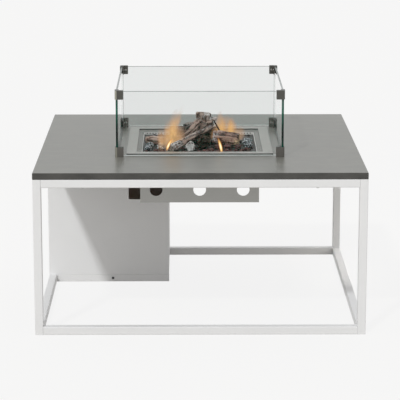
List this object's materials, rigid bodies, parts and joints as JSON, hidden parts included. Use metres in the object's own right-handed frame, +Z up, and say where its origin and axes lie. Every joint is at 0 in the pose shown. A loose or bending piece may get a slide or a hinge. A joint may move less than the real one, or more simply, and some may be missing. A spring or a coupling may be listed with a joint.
{
  "type": "fire pit table",
  "caption": "Square outdoor fire pit table with a white tube frame, grey top, gas burner with ceramic logs, clipped glass wind guard and an enclosed gas bottle bay.",
  "frame": {"origin": "on the floor under the middle of the table", "axes": "+X to the right and +Y to the back for a user who faces the front and its controls, +Z up"},
  "size_m": [1, 1, 0.7085],
  "materials": {
    "frame_white": "satin",
    "top_grey": "matte",
    "steel": "brushed",
    "dark_steel": "satin",
    "brass": "satin",
    "black_plastic": "matte",
    "red_plastic": "gloss",
    "white_ceramic": "gloss",
    "bark_ceramic": "rough",
    "char_ceramic": "rough",
    "lava_stone": "rough",
    "clear_glass": "polished"
  },
  "bodies": {
    "table": {"leg_front_left": "frame_white", "leg_front_right": "frame_white", "leg_rear_left": "frame_white", "leg_rear_right": "frame_white", "top_rail_front": "frame_white", "top_rail_rear": "frame_white", "top_rail_left": "frame_white", "top_rail_right": "frame_white", "bottom_rail_front": "frame_white", "bottom_rail_rear": "frame_white", "bottom_rail_left": "frame_white", "bottom_rail_right": "frame_white", "bay_rail": "frame_white", "bay_front_panel": "frame_white", "bay_outer_panel": "frame_white", "bay_inner_panel": "frame_white", "bay_floor": "frame_white", "table_top": "top_grey", "burner_plate": "steel", "vent_strip": "steel", "box_front": "steel", "box_rear": "steel", "box_left": "steel", "box_right": "steel", "burner_ring": "steel", "mixer_tube": "steel", "hinge_brackets": "steel", "top_screws": "steel", "box_screws": "steel", "burner_tray": "dark_steel", "ember_deck": "dark_steel", "rail_screw": "dark_steel", "door_catch": "dark_steel", "gas_valve": "brass", "hose_nozzle": "brass", "thermocouple": "brass", "igniter_body": "black_plastic", "spark_electrode": "white_ceramic", "log_main": "bark_ceramic", "log_fork": "bark_ceramic", "log_right": "bark_ceramic", "log_left": "bark_ceramic", "log_front": "bark_ceramic", "log_rear": "char_ceramic", "log_char": "char_ceramic", "log_twig": "char_ceramic", "char_lumps": "char_ceramic", "lava_stones": "lava_stone"},
    "glass_guard": {"glass_front": "clear_glass", "glass_rear": "clear_glass", "glass_left": "clear_glass", "glass_right": "clear_glass", "clips_lower": "steel", "clips_upper": "steel", "clip_screws": "steel"},
    "control_stem": {"valve_stem": "steel"},
    "control_knob": {"control_knob": "black_plastic"},
    "igniter_button": {"igniter_button": "red_plastic"},
    "bay_door": {"bay_door": "frame_white"}
  },
  "joints": [
    {"name": "guard_lift", "type": "slide", "parent": "table", "child": "glass_guard", "axis": [0, 0, 1], "range_m": [0, 0.3]},
    {"name": "valve_turn", "type": "hinge", "parent": "table", "child": "control_stem", "pos_m": [0, -0.19, 0.425], "axis": [0, -1, 0], "range_deg": [0, 180]},
    {"name": "knob_push", "type": "slide", "parent": "control_stem", "child": "control_knob", "axis": [0, 1, 0], "range_m": [0, 0.004], "stiffness_N_per_m": 500, "springref_m": -0.004},
    {"name": "igniter_push", "type": "slide", "parent": "table", "child": "igniter_button", "axis": [0, 1, 0], "range_m": [0, 0.005], "stiffness_N_per_m": 400, "springref_m": -0.004},
    {"name": "door_swing", "type": "hinge", "parent": "table", "child": "bay_door", "pos_m": [-0.4625, 0.493, 0.248], "axis": [0, 0, 1], "range_deg": [0, 110]}
  ]
}
